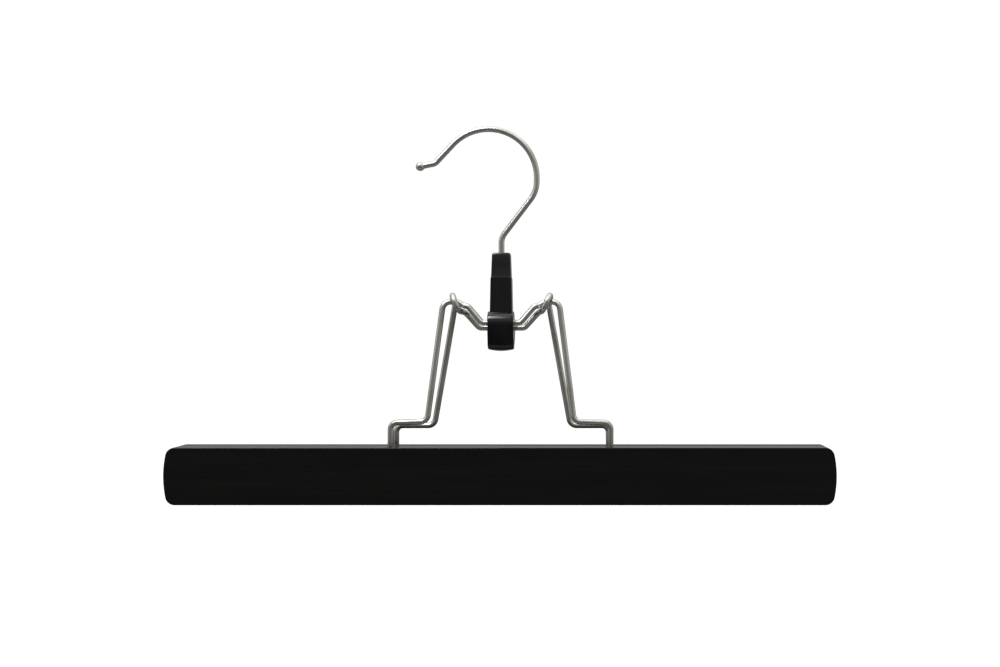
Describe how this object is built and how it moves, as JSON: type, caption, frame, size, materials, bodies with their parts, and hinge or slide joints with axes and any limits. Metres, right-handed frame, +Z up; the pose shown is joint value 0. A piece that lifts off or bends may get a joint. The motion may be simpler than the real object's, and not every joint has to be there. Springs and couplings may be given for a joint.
{
  "type": "trouser clamp hanger",
  "caption": "Trouser hanger with felt-lined black wooden clamp bars on bent steel wires, a black plastic closing lever and a swivelling steel hook.",
  "frame": {"origin": "the point inside the hook's main curve that lies on the rail, straight above the lever", "axes": "+X along the bars, towards the side that the hook opens away from; +Y from the front bar to the back bar; +Z up"},
  "size_m": [0.35, 0.0204, 0.1985],
  "materials": {
    "hook_steel": "bright nickel-plated wire",
    "wire_steel": "bright nickel-plated wire",
    "lever_plastic": "gloss black",
    "lacquered_wood": "gloss black lacquer",
    "felt": "short black felt"
  },
  "bodies": {
    "hook": {"hook": "hook_steel"},
    "lever": {"lever": "lever_plastic"},
    "front_jaw": {"front_wire": "wire_steel", "front_bar": "lacquered_wood", "front_felt": "felt"},
    "back_jaw": {"back_wire": "wire_steel", "back_bar": "lacquered_wood", "back_felt": "felt"}
  },
  "joints": [
    {"name": "hook_swivel", "type": "hinge", "parent": "hook", "child": "lever", "pos_m": [0, 0, -0.07], "axis": [0, 0, 1], "continuous": true},
    {"name": "lever_pivot", "type": "hinge", "parent": "lever", "child": "front_jaw", "pos_m": [0, -0.0027, -0.09961], "axis": [-1, 0, 0], "range_deg": [0, 90]},
    {"name": "jaw_hinge", "type": "hinge", "parent": "front_jaw", "child": "back_jaw", "pos_m": [0, -0.001, -0.08891], "axis": [1, 0, 0], "range_deg": [0, 22.5]}
  ],
  "couplings": [
    {"joint": "jaw_hinge", "follows": "lever_pivot", "ratio": 0.25}
  ]
}
